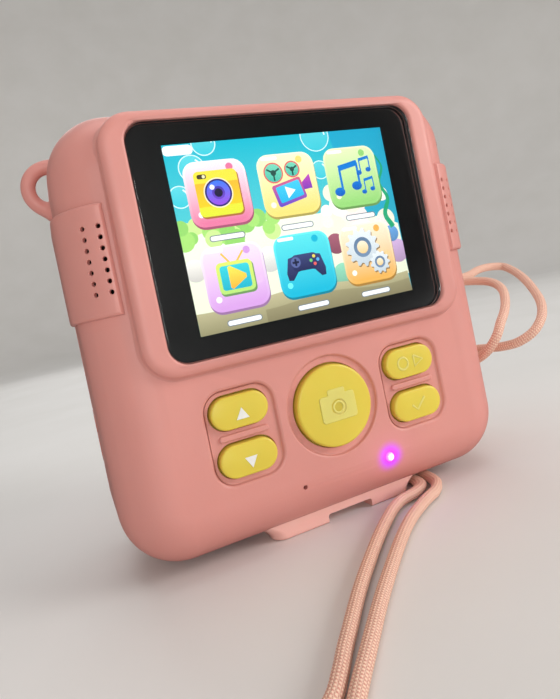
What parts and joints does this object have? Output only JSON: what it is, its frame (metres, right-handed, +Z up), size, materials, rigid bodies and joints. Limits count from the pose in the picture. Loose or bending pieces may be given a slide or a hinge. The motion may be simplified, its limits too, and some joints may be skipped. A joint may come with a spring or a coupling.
{
  "type": "children's instant-print camera",
  "caption": "Rounded children's digital camera with a raised screen frame, yellow buttons, a paper door, and a braided neck cord.",
  "frame": {"origin": "middle of the foot's resting face, on the table", "axes": "+Z up; -Y towards the screen side; +Y towards the lens side; +X to the right when looking at the screen"},
  "size_m": [0.1329, 0.1091, 0.0925],
  "materials": {
    "pink_shell": "satin moulded ABS, fine grain",
    "pale_pink_foot": "satin moulded ABS, slightly paler",
    "yellow_button": "soft satin moulded plastic",
    "black_window": "glossy black acrylic with a clear viewing area",
    "lcd": "lit colour display",
    "white_nylon": "natural moulded nylon",
    "flex_film": "amber flexible circuit film",
    "switch_metal": "plated steel cover",
    "black_plastic": "black moulded plastic",
    "green_board": "green solder mask",
    "silver_wrap": "silver laminate pouch",
    "led_lens": "clear lens, violet light",
    "silver_ring": "satin aluminium",
    "lens_glass": "coated dark lens glass",
    "flash_diffuser": "frosted clear diffuser",
    "steel": "plated steel",
    "thermal_paper": "smooth thermal paper",
    "dark_rubber": "ground rubber",
    "pink_rubber": "soft pink rubber",
    "pink_cord": "braided round cord",
    "dark_thread": "thin woven thread"
  },
  "bodies": {
    "root": {"screen_side_shell": "pink_shell", "lens_side_shell": "pink_shell", "screen_bezel": "pink_shell", "right_speaker_grip": "pink_shell", "left_speaker_grip": "pink_shell", "base_foot": "pale_pink_foot", "screen_window": "black_window", "lcd_panel": "lcd", "lcd_holder": "white_nylon", "lcd_ribbon": "flex_film", "up_switch": "switch_metal", "down_switch": "switch_metal", "mode_switch": "switch_metal", "ok_switch": "switch_metal", "shutter_switch": "switch_metal", "power_switch": "black_plastic", "main_board": "green_board", "side_board": "green_board", "sensor_board": "green_board", "battery": "silver_wrap", "right_speaker": "black_plastic", "left_speaker": "black_plastic", "lens_barrel": "black_plastic", "printer_frame": "black_plastic", "microphone": "switch_metal", "status_led": "led_lens", "lens_ring": "silver_ring", "lens_cover_glass": "lens_glass", "imaging_lens": "lens_glass", "flash_window": "flash_diffuser", "case_screw_1": "steel", "case_screw_2": "steel", "case_screw_3": "steel", "case_screw_4": "steel", "door_hinge_pin": "steel", "head_spring": "steel", "usb_socket": "steel", "card_socket": "steel", "stepper_motor": "steel", "print_head": "silver_ring", "lanyard_cord": "pink_cord", "cord_sleeve": "pink_rubber", "thread_loop": "dark_thread"},
    "paper_door": {"paper_door": "pink_shell", "tear_bar": "steel"},
    "port_cover": {"port_cover": "pink_rubber"},
    "memory_card": {"memory_card": "black_plastic"},
    "paper_roll": {"paper_roll": "thermal_paper", "roll_spool": "white_nylon"},
    "platen": {"platen_roller": "dark_rubber", "platen_gear": "white_nylon"},
    "upper_idler_gear": {"upper_idler_gear": "white_nylon"},
    "lower_idler_gear": {"lower_idler_gear": "white_nylon"},
    "motor_pinion": {"motor_pinion": "steel"},
    "up_button": {"up_button": "yellow_button"},
    "down_button": {"down_button": "yellow_button"},
    "mode_button": {"mode_button": "yellow_button"},
    "ok_button": {"ok_button": "yellow_button"},
    "shutter_button": {"shutter_button": "yellow_button"},
    "power_button": {"power_button": "yellow_button"}
  },
  "joints": [
    {"name": "up_button_press", "type": "slide", "parent": "root", "child": "up_button", "axis": [0, 1, 0], "range_m": [0, 0.0005]},
    {"name": "down_button_press", "type": "slide", "parent": "root", "child": "down_button", "axis": [0, 1, 0], "range_m": [0, 0.0005]},
    {"name": "mode_button_press", "type": "slide", "parent": "root", "child": "mode_button", "axis": [0, 1, 0], "range_m": [0, 0.0005]},
    {"name": "ok_button_press", "type": "slide", "parent": "root", "child": "ok_button", "axis": [0, 1, 0], "range_m": [0, 0.0005]},
    {"name": "shutter_button_press", "type": "slide", "parent": "root", "child": "shutter_button", "axis": [0, 1, 0], "range_m": [0, 0.0005]},
    {"name": "power_button_press", "type": "slide", "parent": "root", "child": "power_button", "axis": [-1, 0, 0], "range_m": [0, 0.0005]},
    {"name": "paper_door_hinge", "type": "hinge", "parent": "root", "child": "paper_door", "pos_m": [0, 0.0222, 0.0711], "axis": [-1, 0, 0], "range_deg": [0, 100]},
    {"name": "port_cover_hinge", "type": "hinge", "parent": "root", "child": "port_cover", "pos_m": [-0.0455, 0.0142, 0.027], "axis": [0, 0, -1], "range_deg": [0, 110]},
    {"name": "memory_card_slide", "type": "slide", "parent": "root", "child": "memory_card", "axis": [-1, 0, 0], "range_m": [0, 0.01]},
    {"name": "paper_roll_spin", "type": "hinge", "parent": "root", "child": "paper_roll", "pos_m": [0, 0.0065, 0.073], "axis": [1, 0, 0], "continuous": true},
    {"name": "platen_spin", "type": "hinge", "parent": "root", "child": "platen", "pos_m": [0, -0.0055, 0.084], "axis": [1, 0, 0], "continuous": true},
    {"name": "upper_idler_spin", "type": "hinge", "parent": "root", "child": "upper_idler_gear", "pos_m": [0, -0.004, 0.07447], "axis": [1, 0, 0], "continuous": true},
    {"name": "lower_idler_spin", "type": "hinge", "parent": "root", "child": "lower_idler_gear", "pos_m": [0, -0.0055, 0.06241], "axis": [1, 0, 0], "continuous": true},
    {"name": "motor_pinion_spin", "type": "hinge", "parent": "root", "child": "motor_pinion", "pos_m": [0, -0.0035, 0.05451], "axis": [1, 0, 0], "continuous": true}
  ],
  "couplings": [
    {"joint": "platen_spin", "follows": "paper_roll_spin", "ratio": 4},
    {"joint": "upper_idler_spin", "follows": "paper_roll_spin", "ratio": -2.3333},
    {"joint": "lower_idler_spin", "follows": "paper_roll_spin", "ratio": 2.3333},
    {"joint": "motor_pinion_spin", "follows": "paper_roll_spin", "ratio": -7}
  ]
}
